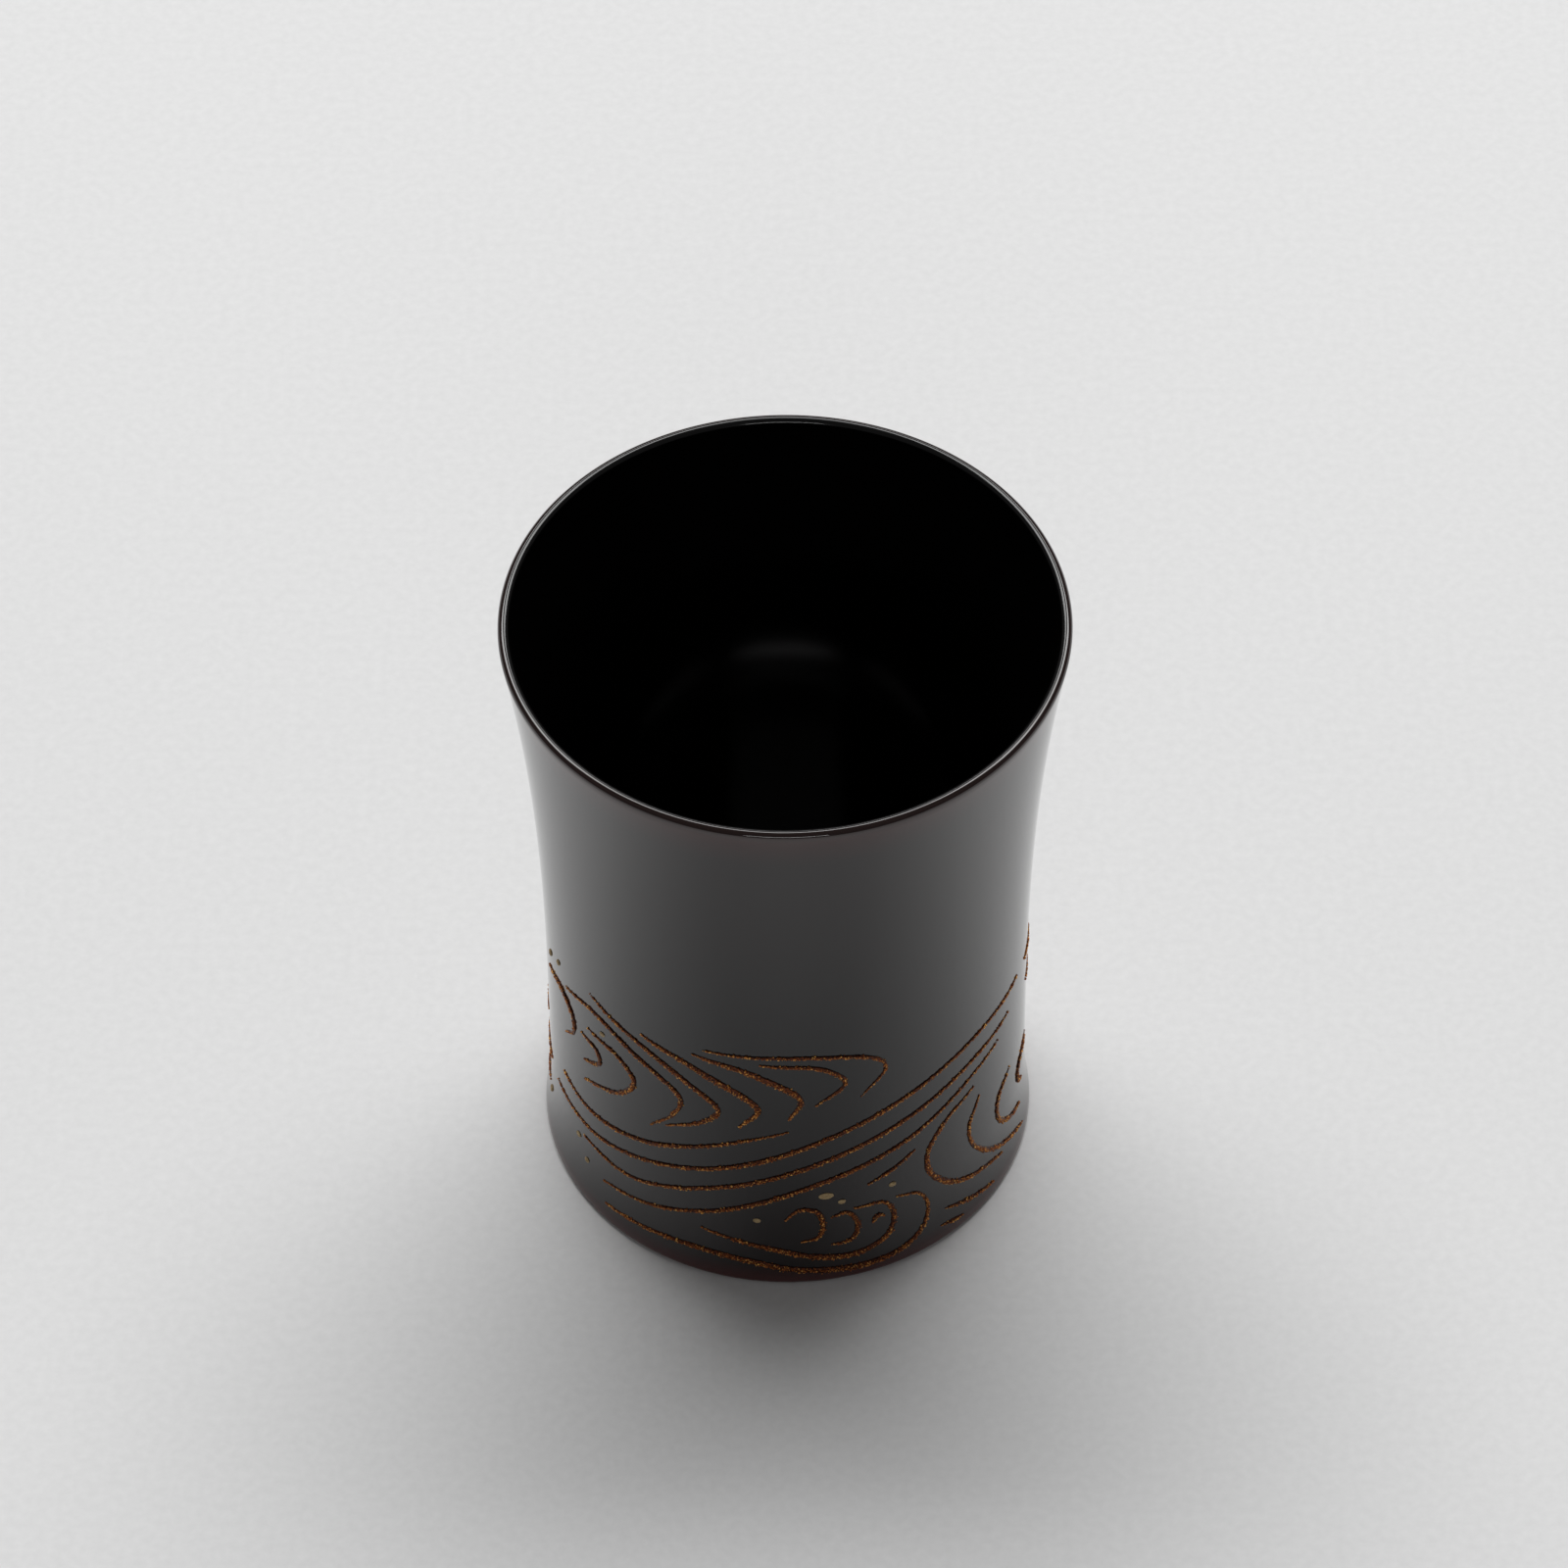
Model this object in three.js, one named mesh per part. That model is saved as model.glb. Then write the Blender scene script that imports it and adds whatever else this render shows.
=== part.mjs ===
// A lacquered sake cup: a turned wooden core, coats of lacquer on it, and a wave in raised gold powder.
// Millimetres, +Z up. The origin is the centre of the circle that the cup stands on.
// Angles round the wall are in degrees: 0 is the front, towards -Y, and 90 is the +X side.

import * as THREE from "three";

// Driving dimensions of the finished, lacquered cup
const HEIGHT = 81;
const RIM_RADIUS = 31;
const WAIST_RADIUS = 27.1;
const FOOT_RADIUS = 28;
const WAIST_HEIGHT = 20;
const FLARE_POWER = 2.5;
const FOOT_FLARE_HEIGHT = 10;
const FOOT_EDGE_ROUND = 0.8;
const LIP_THICKNESS = 1.3;
const WALL_THICKNESS = 2.2;
const WALL_THINS_OVER = 30;
const FLOOR_THICKNESS = 5;
const FLOOR_FILLET = 10;
const FOOT_RING_WIDTH = 4;
const RECESS_DEPTH = 1.2;
const RECESS_SLOPE = 1;

// Coats, from the core outwards
const RED_COAT = 0.15;
const TOP_COAT = 0.15;
const INNER_COAT = 0.15;
const FOOT_COAT = 0.15;
const COAT_GAP = 0.03;
const JOINT_GAP = 0.06;

// Raised gold
const GOLD_GAP = 0.1;
const GOLD_RISE = 0.14;
const STROKE_STEP = 1.8;
const TIP_SHARE = 0.28;
const DROP_SIDES = 10;
const DROP_SHOULDER = 0.7;

// Fineness of the turned surfaces
const ROUND_SIDES = 40;
const WALL_RINGS = 11;
const INNER_RINGS = 7;
const FILLET_RINGS = 4;

const LIP_ROUND = LIP_THICKNESS / 2;
const LIP_HEIGHT = HEIGHT - LIP_ROUND;
const OUTER_DEPTH = TOP_COAT + COAT_GAP + RED_COAT + COAT_GAP;
const INNER_DEPTH = INNER_COAT + COAT_GAP;
const FOOT_DEPTH = FOOT_COAT + COAT_GAP;
const QUARTER_TURN = Math.PI / 2;

// Radius of the outer wall: a waist that flares as a power curve to the rim and a little to the foot
function wallRadius(height) {
  const up = Math.max(height - WAIST_HEIGHT, 0) / (LIP_HEIGHT - WAIST_HEIGHT);
  const down = Math.max(FOOT_FLARE_HEIGHT - height, 0) / FOOT_FLARE_HEIGHT;
  const rimFlare = (RIM_RADIUS - WAIST_RADIUS) * up ** FLARE_POWER;
  const footFlare = (FOOT_RADIUS - WAIST_RADIUS) * down ** 2;
  return WAIST_RADIUS + rimFlare + footFlare;
}

// Radius of the hollow: the wall thins smoothly to the lip over its last stretch
function hollowRadius(height) {
  const share = THREE.MathUtils.smoothstep(LIP_HEIGHT - height, 0, WALL_THINS_OVER);
  const thickness = THREE.MathUtils.lerp(LIP_THICKNESS, WALL_THICKNESS, share);
  return wallRadius(height) - thickness;
}

function arcPoint(centreRadius, centreHeight, round, angle) {
  return new THREE.Vector2(centreRadius + round * Math.cos(angle), centreHeight + round * Math.sin(angle));
}

// The outline of the finished cup, in three runs that follow each other from the axis under the foot
// round the foot edge and the lip to the axis on the inner floor
function undersideRun() {
  const edgeStart = wallRadius(FOOT_EDGE_ROUND) - FOOT_EDGE_ROUND;
  const ringInner = edgeStart - FOOT_RING_WIDTH;
  return [
    new THREE.Vector2(0, RECESS_DEPTH),
    new THREE.Vector2(ringInner - RECESS_SLOPE, RECESS_DEPTH),
    new THREE.Vector2(ringInner, 0),
    new THREE.Vector2(edgeStart - JOINT_GAP, 0),
  ];
}

function outsideRun() {
  const points = [];
  const edgeCentre = wallRadius(FOOT_EDGE_ROUND) - FOOT_EDGE_ROUND;
  for (const turn of [-1, -0.5]) {
    points.push(arcPoint(edgeCentre, FOOT_EDGE_ROUND, FOOT_EDGE_ROUND, turn * QUARTER_TURN));
  }
  for (let ring = 0; ring < WALL_RINGS; ring += 1) {
    // Rings lie closer together towards the foot, where the wall curves most
    const share = (ring / WALL_RINGS) ** 1.5;
    const height = THREE.MathUtils.lerp(FOOT_EDGE_ROUND, LIP_HEIGHT, share);
    points.push(new THREE.Vector2(wallRadius(height), height));
  }
  for (const turn of [0, 0.5, 1]) {
    points.push(arcPoint(RIM_RADIUS - LIP_ROUND, LIP_HEIGHT, LIP_ROUND, turn * QUARTER_TURN));
  }
  return points;
}

function insideRun() {
  const points = [];
  const jointTurn = 1 + JOINT_GAP / (LIP_ROUND * QUARTER_TURN);
  for (const turn of [jointTurn, 1.5]) {
    points.push(arcPoint(RIM_RADIUS - LIP_ROUND, LIP_HEIGHT, LIP_ROUND, turn * QUARTER_TURN));
  }
  const filletTop = FLOOR_THICKNESS + FLOOR_FILLET;
  for (let ring = 0; ring < INNER_RINGS; ring += 1) {
    const height = THREE.MathUtils.lerp(LIP_HEIGHT, filletTop, ring / INNER_RINGS);
    points.push(new THREE.Vector2(hollowRadius(height), height));
  }
  const filletCentre = hollowRadius(filletTop) - FLOOR_FILLET;
  for (let ring = 0; ring <= FILLET_RINGS; ring += 1) {
    const angle = -QUARTER_TURN * (ring / FILLET_RINGS);
    points.push(arcPoint(filletCentre, filletTop, FLOOR_FILLET, angle));
  }
  points.push(new THREE.Vector2(0, FLOOR_THICKNESS));
  return points;
}

const underside = undersideRun();
const outside = outsideRun();
const inside = insideRun();
const outline = [...underside, ...outside, ...inside];
const outsideStart = underside.length;
const insideStart = underside.length + outside.length;

// On the axis, and where one coat ends and the next begins, the outline lies level
const levelPoints = [0, outsideStart - 1, outsideStart, insideStart - 1, insideStart, outline.length - 1];

// The point of the outline at an index, moved into the material along the outline's normal
function sunkPoint(index, depth) {
  const before = outline[Math.max(index - 1, 0)];
  const after = outline[Math.min(index + 1, outline.length - 1)];
  const along = after.clone().sub(before).normalize();
  const inward = new THREE.Vector2(-along.y, along.x);
  if (levelPoints.includes(index)) {
    inward.set(0, Math.sign(along.x));
  }
  return outline[index].clone().addScaledVector(inward, depth);
}

// A stretch of the outline, sunk to one depth
function sunkRun(start, end, depth) {
  const points = [];
  for (let index = start; index < end; index += 1) {
    points.push(sunkPoint(index, depth));
  }
  return points;
}

function turned(profile) {
  const geometry = new THREE.LatheGeometry(profile, ROUND_SIDES);
  geometry.rotateX(QUARTER_TURN);
  return geometry;
}

// A coat between two depths. One that reaches the axis ends there, and any other closes on itself.
function coat(start, end, outerDepth, innerDepth) {
  const outer = sunkRun(start, end, outerDepth);
  const inner = sunkRun(start, end, innerDepth).reverse();
  const profile = [...outer, ...inner];
  if (start === 0) {
    return turned(profile);
  }
  if (end === outline.length) {
    return turned([...inner, ...outer]);
  }
  return turned([...profile, profile[0]]);
}

function coreGeometry() {
  return turned([
    ...sunkRun(0, outsideStart, FOOT_DEPTH),
    ...sunkRun(outsideStart, insideStart, OUTER_DEPTH),
    ...sunkRun(insideStart, outline.length, INNER_DEPTH),
  ]);
}

// A closed body from its points and triangles, turned right side out by the sign of its volume
function closedBody(points, triangles) {
  let volume = 0;
  for (const [a, b, c] of triangles) {
    volume += points[a].dot(points[b].clone().cross(points[c]));
  }
  const facing = volume > 0 ? triangles : triangles.map(([a, b, c]) => [a, c, b]);
  const geometry = new THREE.BufferGeometry().setFromPoints(points);
  geometry.setIndex(facing.flat());
  geometry.computeVertexNormals();
  return geometry;
}

// A point over the wall. Across is the distance round the waist from the front, and lift stands off the wall.
function overWall(across, height, lift) {
  const angle = across / WAIST_RADIUS;
  const radius = wallRadius(height) + lift;
  return new THREE.Vector3(radius * Math.sin(angle), -radius * Math.cos(angle), height);
}

// A brush stroke through points of [angle, height]: a ridge that swells and tapers as the brush does
function strokeGeometry(route, width) {
  const flat = route.map(([angle, height]) => {
    return new THREE.Vector3(THREE.MathUtils.degToRad(angle) * WAIST_RADIUS, height, 0);
  });
  const path = new THREE.CatmullRomCurve3(flat, false, "centripetal");
  const steps = Math.max(5, Math.round(path.getLength() / STROKE_STEP));
  const points = [];
  const triangles = [];
  for (let step = 0; step <= steps; step += 1) {
    const share = step / steps;
    const centre = path.getPointAt(share);
    const along = path.getTangentAt(share);
    const swell = THREE.MathUtils.lerp(TIP_SHARE, 1, Math.sin(Math.PI * share) ** 0.7);
    const half = width * 0.5 * swell;
    points.push(overWall(centre.x - along.y * half, centre.y + along.x * half, GOLD_GAP));
    points.push(overWall(centre.x + along.y * half, centre.y - along.x * half, GOLD_GAP));
    points.push(overWall(centre.x, centre.y, GOLD_GAP + GOLD_RISE * swell));
  }
  for (let step = 0; step < steps; step += 1) {
    for (let side = 0; side < 3; side += 1) {
      const a = 3 * step + side;
      const b = 3 * step + (side + 1) % 3;
      triangles.push([a, b, b + 3], [a, b + 3, a + 3]);
    }
  }
  const last = 3 * steps;
  triangles.push([2, 1, 0], [last, last + 1, last + 2]);
  return closedBody(points, triangles);
}

// A drop of spray: a low oval dome, longer along the wall than it is high
function dropGeometry([angle, height, length, breadth]) {
  const middle = THREE.MathUtils.degToRad(angle) * WAIST_RADIUS;
  const points = [overWall(middle, height, GOLD_GAP), overWall(middle, height, GOLD_GAP + GOLD_RISE)];
  const triangles = [];
  for (let side = 0; side < DROP_SIDES; side += 1) {
    const turn = 2 * Math.PI * side / DROP_SIDES;
    const across = Math.cos(turn) * length / 2;
    const rise = Math.sin(turn) * breadth / 2;
    const lift = GOLD_GAP + GOLD_RISE * DROP_SHOULDER;
    points.push(overWall(middle + across, height + rise, GOLD_GAP));
    points.push(overWall(middle + across * DROP_SHOULDER, height + rise * DROP_SHOULDER, lift));
    const here = 2 + 2 * side;
    const next = 2 + 2 * ((side + 1) % DROP_SIDES);
    triangles.push([0, next, here], [here, next, next + 1], [here, next + 1, here + 1], [here + 1, next + 1, 1]);
  }
  return closedBody(points, triangles);
}

// Strokes of the wave: a name, a full width and the points that the brush went through
const STROKES = [
  ["hairpin_a", 0.75, [[-19, 39.3], [6, 39.6], [20, 37.8], [23.5, 35.4], [18, 31.8]]],
  ["hairpin_b", 0.85, [[-6, 38.3], [8, 37.4], [13.5, 34.4], [7, 31.2]]],
  ["hairpin_c", 1.2, [[-22, 38], [-9, 36.6], [3, 32.2], [0.5, 29]]],
  ["hairpin_d", 1.2, [[-36, 37.6], [-22.5, 35.6], [-7, 30.4], [-11, 27.2]]],
  ["hairpin_e", 0.95, [[-52, 37.8], [-35, 35.4], [-25.5, 33], [-16.5, 29.2], [-20, 26.6], [-29, 23.8]]],
  ["hairpin_f", 0.85, [[-64, 33.6], [-52, 35.2], [-40, 33.6], [-26, 29.4], [-28, 26], [-33.5, 22.8]]],
  ["hairpin_g", 0.85, [[-54, 31.1], [-44, 30.8], [-39, 28.4], [-43, 24.8], [-56.5, 21.3]]],
  ["curl_h", 0.7, [[-57.5, 29], [-51.5, 28.6], [-50.5, 26.8], [-57, 24.6]]],
  ["curl_i", 0.8, [[-78, 30.2], [-68, 31.6], [-62, 30], [-61.5, 27.2], [-66, 25]]],
  ["stream_1", 0.8, [[-67.5, 16.6], [-55.5, 16.4], [-38.5, 18.3], [-23, 21.5], [-10, 24.6], [-1, 26.4]]],
  ["stream_2", 0.9, [[-71, 12.4], [-54, 13], [-38.5, 15], [-17, 18.8], [10, 25], [30, 28.8], [50, 31.4], [68, 31.8]]],
  ["stream_3", 0.9, [[-56, 10.4], [-41.5, 10.6], [-15, 15.8], [10, 21.2], [35, 25.6], [50, 27.6], [63, 28.2]]],
  ["stream_4", 0.9, [[-48, 6.4], [-35, 7.8], [-19, 10.8], [6, 16.8], [30, 21], [48, 24.6], [58, 25.8]]],
  ["stream_5", 0.6, [[19.5, 15.4], [26, 16.8], [31.5, 18.4]]],
  ["return_1", 0.95, [[49, 22.4], [41, 20.6], [35.5, 17], [36, 13], [44, 8.2], [62, 4.8]]],
  ["return_2", 0.85, [[52, 19.6], [48.8, 16], [50.5, 12], [59.5, 7], [76, 2.8]]],
  ["return_3", 0.8, [[67, 17.4], [61.2, 15.2], [61.5, 11.4], [67.5, 8.2], [76, 6.4]]],
  ["return_4", 0.7, [[84, 14.6], [75, 13.6], [74.6, 11], [79, 9.4]]],
  ["return_5", 0.7, [[40.5, 4.9], [50, 3.2], [58, 2.2]]],
  ["return_6", 0.6, [[39, 2.6], [46, 1.9]]],
  ["crest_curl_0", 0.9, [[-0.5, 11], [2.5, 12.6], [6.5, 12.2], [8.3, 9.6], [7.2, 7.6], [3.4, 7]]],
  ["crest_curl_1", 0.9, [[10.4, 10.8], [13.8, 11.3], [16.8, 8.9], [15.2, 6.4], [10.5, 6.1]]],
  ["crest_curl_2", 1.1, [[17, 11.7], [23, 11.4], [26, 8.8], [24.4, 5.6], [17.5, 4], [7, 4.3], [-2.5, 5.6], [-20, 7.4]]],
  ["crest_curl_3", 1.1, [[28.5, 11.2], [32.5, 10.4], [35.5, 7.4], [34, 4.4], [29.5, 2.7], [21.5, 1.9],
    [3, 2.4], [-9, 3.5], [-23, 4], [-47, 3]]],
  ["crest_eye", 0.9, [[20.4, 8.3], [21.8, 9.3], [23.4, 9]]],
  ["back_stream_1", 0.9, [[80, 30.4], [105, 27.5], [130, 24.6], [155, 24], [180, 26]]],
  ["back_stream_2", 0.9, [[84, 24.6], [110, 21.6], [135, 18.6], [160, 18], [190, 20.5]]],
  ["back_stream_3", 0.9, [[100, 15.6], [125, 12.6], [150, 11.6], [175, 13], [200, 16]]],
  ["back_stream_4", 0.8, [[205, 25], [225, 22], [250, 19], [272, 17.6]]],
  ["back_stream_5", 0.8, [[212, 18.4], [235, 14.6], [258, 12.2], [278, 12]]],
  ["back_hairpin_1", 1, [[115, 35], [130, 34], [140, 30.6], [135, 28.2]]],
  ["back_hairpin_2", 1, [[152, 36.6], [169, 35.4], [181, 31.8], [175, 29.2]]],
  ["back_hairpin_3", 1, [[195, 37], [212, 35.6], [224, 31.6], [217, 28.8]]],
  ["back_hairpin_4", 0.9, [[234, 36], [250, 34.4], [262, 30], [255, 26.4]]],
  ["back_swell_1", 0.9, [[118, 6], [145, 4.8], [170, 5.4], [196, 8.4]]],
  ["back_swell_2", 0.9, [[214, 8.6], [235, 6], [255, 4.8], [274, 5.8]]],
];

// Drops of spray: angle, height, length round the wall and breadth
const DROPS = [
  [9, 14.8, 1.7, 1.05],
  [12.8, 13.4, 0.9, 0.7],
  [25.5, 14, 0.9, 0.75],
  [-7.5, 10.6, 0.9, 0.7],
  [-76, 33.4, 0.9, 0.8],
  [-69, 35.4, 0.8, 0.7],
  [-49, 32.6, 0.8, 0.6],
  [-82, 6, 0.9, 0.8],
  [-61, 9.2, 0.9, 0.7],
  [-57, 6.6, 0.8, 0.7],
  [104, 33.6, 0.9, 0.8],
  [190, 33, 0.9, 0.8],
  [247, 9, 0.9, 0.8],
];

const wood = new THREE.MeshStandardMaterial({ color: 0x9a7348, roughness: 0.8, metalness: 0 });
const redLacquer = new THREE.MeshStandardMaterial({ color: 0x6a1a18, roughness: 0.3, metalness: 0 });
const brownLacquer = new THREE.MeshStandardMaterial({ color: 0x1c1011, roughness: 0.08, metalness: 0 });
const blackLacquer = new THREE.MeshStandardMaterial({ color: 0x050505, roughness: 0.06, metalness: 0 });
const goldPowder = new THREE.MeshStandardMaterial({ color: 0xa8662a, roughness: 0.45, metalness: 0.8 });
const paleGold = new THREE.MeshStandardMaterial({ color: 0xb59a6a, roughness: 0.55, metalness: 0.6 });

const cup = new THREE.Group();

function addPiece(name, geometry, material) {
  const piece = new THREE.Mesh(geometry, material);
  piece.name = name;
  cup.add(piece);
}

addPiece("wood_core", coreGeometry(), wood);
addPiece("red_undercoat", coat(outsideStart, insideStart, TOP_COAT + COAT_GAP, OUTER_DEPTH - COAT_GAP), redLacquer);
addPiece("brown_top_coat", coat(outsideStart, insideStart, 0, TOP_COAT), brownLacquer);
addPiece("black_inner_coat", coat(insideStart, outline.length, 0, INNER_COAT), blackLacquer);
addPiece("black_foot_coat", coat(0, outsideStart, 0, FOOT_COAT), blackLacquer);
for (const [name, width, route] of STROKES) {
  addPiece(`gold_${name}`, strokeGeometry(route, width), goldPowder);
}
DROPS.forEach((drop, index) => {
  addPiece(`gold_drop_${index + 1}`, dropGeometry(drop), paleGold);
});

export default cup;
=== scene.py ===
# %% [markdown]
# The object is a lacquered sake cup: a turned wooden body under coats of lacquer, with a wave drawn
# on its wall in gold powder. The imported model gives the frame: its solids are right in size and
# place, but faceted. Here the coats are turned again finely, and the gold gets its grains.

# %% Load the frame
import math

import bmesh
import bpy
import numpy as np
from mathutils import Matrix, Vector


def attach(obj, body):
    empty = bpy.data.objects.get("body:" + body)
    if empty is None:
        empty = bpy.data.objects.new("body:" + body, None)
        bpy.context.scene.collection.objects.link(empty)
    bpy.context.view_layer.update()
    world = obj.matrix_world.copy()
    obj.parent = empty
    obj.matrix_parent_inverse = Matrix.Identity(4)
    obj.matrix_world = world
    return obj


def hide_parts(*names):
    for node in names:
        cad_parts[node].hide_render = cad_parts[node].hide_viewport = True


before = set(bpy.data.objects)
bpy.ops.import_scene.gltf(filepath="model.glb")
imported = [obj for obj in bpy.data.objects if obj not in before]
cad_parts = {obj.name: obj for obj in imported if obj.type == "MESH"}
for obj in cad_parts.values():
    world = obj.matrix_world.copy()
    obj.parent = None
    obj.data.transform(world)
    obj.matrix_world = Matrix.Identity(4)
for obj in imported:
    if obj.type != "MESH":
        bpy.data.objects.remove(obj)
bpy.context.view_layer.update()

print("nodes in the frame:", len(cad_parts))

# %% [markdown]
# The cup's driving sizes are written in millimetres, as a turner would, and turned into metres once,
# where points go into a mesh. Angles round the wall are degrees from the front.

# %% Sizes of the cup
MM = 0.001
HEIGHT = 81.0
RIM_RADIUS = 31.0
WAIST_RADIUS = 27.1
FOOT_RADIUS = 28.0
WAIST_HEIGHT = 20.0
FLARE_POWER = 2.5
FOOT_FLARE_HEIGHT = 10.0
EDGE_ROUND = 0.8
LIP_THICKNESS = 1.3
WALL_THICKNESS = 2.2
WALL_THINS_OVER = 30.0
FLOOR_THICKNESS = 5.0
FLOOR_FILLET = 10.0
FOOT_RING_WIDTH = 4.0
RECESS_DEPTH = 1.2
RECESS_SLOPE = 1.0
COAT = 0.15
COAT_GAP = 0.03
LIP_ROUND = LIP_THICKNESS / 2
LIP_HEIGHT = HEIGHT - LIP_ROUND


def wall_radius(height):
    """The waist radius, plus a power curve up to the rim, plus a square curve down to the foot."""
    up = np.clip(height - WAIST_HEIGHT, 0, None) / (LIP_HEIGHT - WAIST_HEIGHT)
    down = np.clip(FOOT_FLARE_HEIGHT - height, 0, None) / FOOT_FLARE_HEIGHT
    rim_flare = (RIM_RADIUS - WAIST_RADIUS) * up ** FLARE_POWER
    foot_flare = (FOOT_RADIUS - WAIST_RADIUS) * down ** 2
    return WAIST_RADIUS + rim_flare + foot_flare


def hollow_radius(height):
    """The wall radius less a thickness that eases from the lip's to the wall's by a smooth step."""
    share = np.clip((LIP_HEIGHT - height) / WALL_THINS_OVER, 0, 1)
    ease = share * share * (3 - 2 * share)
    return wall_radius(height) - (LIP_THICKNESS + (WALL_THICKNESS - LIP_THICKNESS) * ease)


print("waist", wall_radius(WAIST_HEIGHT), "mm, hollow at mid height", hollow_radius(HEIGHT / 2), "mm")

# %% [markdown]
# A turned coat is a profile carried round an axis. The profile is a loop of points, so the coat is a
# closed shell. Each point and each angle makes one vertex, worked out as one array.

# %% Helpers for meshes
ROUND_SIDES = 256
WELD_WITHIN = 1e-8


def faces_of_grid(rows, columns, closed_rows):
    """Quads between neighbours of a rows by columns grid whose columns go all the way round."""
    row = np.arange(rows if closed_rows else rows - 1)[:, None]
    column = np.arange(columns)[None, :]
    next_row = (row + 1) % rows
    next_column = (column + 1) % columns
    corners = [row * columns + column, row * columns + next_column,
               next_row * columns + next_column, next_row * columns + column]
    return np.stack(np.broadcast_arrays(*corners), axis=-1).reshape(-1, 4)


def make_piece(name, points, faces, tone=None):
    """A mesh object in metres from points in millimetres, with an optional tone at each point."""
    mesh = bpy.data.meshes.new(name)
    mesh.from_pydata((points * MM).tolist(), [], faces.tolist())
    if tone is not None:
        attribute = mesh.attributes.new("tone", "FLOAT", "POINT")
        attribute.data.foreach_set("value", tone.astype(np.float32))
    mesh.shade_smooth()
    piece = bpy.data.objects.new(name, mesh)
    bpy.context.scene.collection.objects.link(piece)
    return piece


def turn_profile(name, profile):
    """Carries a loop of (radius, height) round the axis: x = r sin a, y = -r cos a, z = height."""
    angle = np.arange(ROUND_SIDES) * 2 * np.pi / ROUND_SIDES
    radius = profile[:, 0][:, None]
    height = np.broadcast_to(profile[:, 1][:, None], (len(profile), ROUND_SIDES))
    points = np.stack([radius * np.sin(angle), -radius * np.cos(angle), height], axis=-1)
    faces = faces_of_grid(len(profile), ROUND_SIDES, True)
    piece = make_piece(name, points.reshape(-1, 3), faces)
    weld = bmesh.new()
    weld.from_mesh(piece.data)
    bmesh.ops.remove_doubles(weld, verts=weld.verts, dist=WELD_WITHIN)
    bmesh.ops.recalc_face_normals(weld, faces=weld.faces)
    weld.to_mesh(piece.data)
    weld.free()
    print(name, "has", len(piece.data.polygons), "faces")
    return piece

# %% [markdown]
# The outline of the finished cup runs from the axis under the foot, round the foot edge, up the wall,
# over the lip and down the hollow to the axis again. Each coat is a stretch of it with a thickness.
# The hollow's stretch starts a little past the top of the lip, so the two coats of the lip don't meet.

# %% The outline in three runs
RECESS_POINTS = 12
SLOPE_POINTS = 8
RING_POINTS = 12
EDGE_POINTS = 10
WALL_POINTS = 90
LIP_POINTS = 12
HOLLOW_POINTS = 50
FILLET_POINTS = 24
FLOOR_POINTS = 10
PAST_LIP_TOP = 1.01


def arc(centre_radius, centre_height, radius, start, end, count):
    """Points on a round of the outline between two angles, given in quarter turns."""
    angle = np.linspace(start, end, count) * np.pi / 2
    height = centre_height + radius * np.sin(angle)
    return np.stack([centre_radius + radius * np.cos(angle), height], axis=-1)


def straight(start, end, count):
    """Evenly spaced points from start to end, with the end left out."""
    share = np.linspace(0, 1, count, endpoint=False)[:, None]
    return np.array(start) + share * (np.array(end) - np.array(start))


def wall_run(radius_at, start, end, count):
    """Points of a wall between two heights, the ends left out."""
    height = np.linspace(start, end, count + 2)[1:-1]
    return np.stack([radius_at(height), height], axis=-1)


edge_centre = float(wall_radius(np.array(EDGE_ROUND))) - EDGE_ROUND
ring_inner = edge_centre - FOOT_RING_WIDTH
recess_edge = ring_inner - RECESS_SLOPE
lip_centre = RIM_RADIUS - LIP_ROUND
fillet_top = FLOOR_THICKNESS + FLOOR_FILLET
fillet_centre = float(hollow_radius(np.array(fillet_top))) - FLOOR_FILLET

underside = np.concatenate([
    straight((0, RECESS_DEPTH), (recess_edge, RECESS_DEPTH), RECESS_POINTS),
    straight((recess_edge, RECESS_DEPTH), (ring_inner, 0), SLOPE_POINTS),
    straight((ring_inner, 0), (edge_centre, 0), RING_POINTS),
])
outside = np.concatenate([
    arc(edge_centre, EDGE_ROUND, EDGE_ROUND, -1, 0, EDGE_POINTS),
    wall_run(wall_radius, EDGE_ROUND, LIP_HEIGHT, WALL_POINTS),
    arc(lip_centre, LIP_HEIGHT, LIP_ROUND, 0, 1, LIP_POINTS),
])
inside = np.concatenate([
    arc(lip_centre, LIP_HEIGHT, LIP_ROUND, PAST_LIP_TOP, 2, LIP_POINTS),
    wall_run(hollow_radius, LIP_HEIGHT, fillet_top, HOLLOW_POINTS),
    arc(fillet_centre, fillet_top, FLOOR_FILLET, 0, -1, FILLET_POINTS),
    straight((fillet_centre, FLOOR_THICKNESS), (0, FLOOR_THICKNESS), FLOOR_POINTS)[1:],
    np.array([[0, FLOOR_THICKNESS]]),
])
print("outline points:", len(underside), len(outside), len(inside))

# %% [markdown]
# To give a coat its thickness, each point is sunk along the outline's inward normal, which is the
# tangent turned a quarter. At the two ends of a coat the cut is straight up or down. The red coat and
# the wood lie under one coat or two. They are hidden, so they take every second point.

# %% Turn the coats and the wood
UNDER_ONE_COAT = COAT + COAT_GAP


def sunk(run, depth):
    """The run moved into the material by a depth: point plus depth times inward normal."""
    along = np.gradient(run, axis=0)
    along /= np.linalg.norm(along, axis=1)[:, None]
    inward = np.stack([-along[:, 1], along[:, 0]], axis=-1)
    inward[0] = (0, np.sign(inward[0, 1]))
    inward[-1] = (0, np.sign(inward[-1, 1]))
    return run + depth * inward


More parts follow.
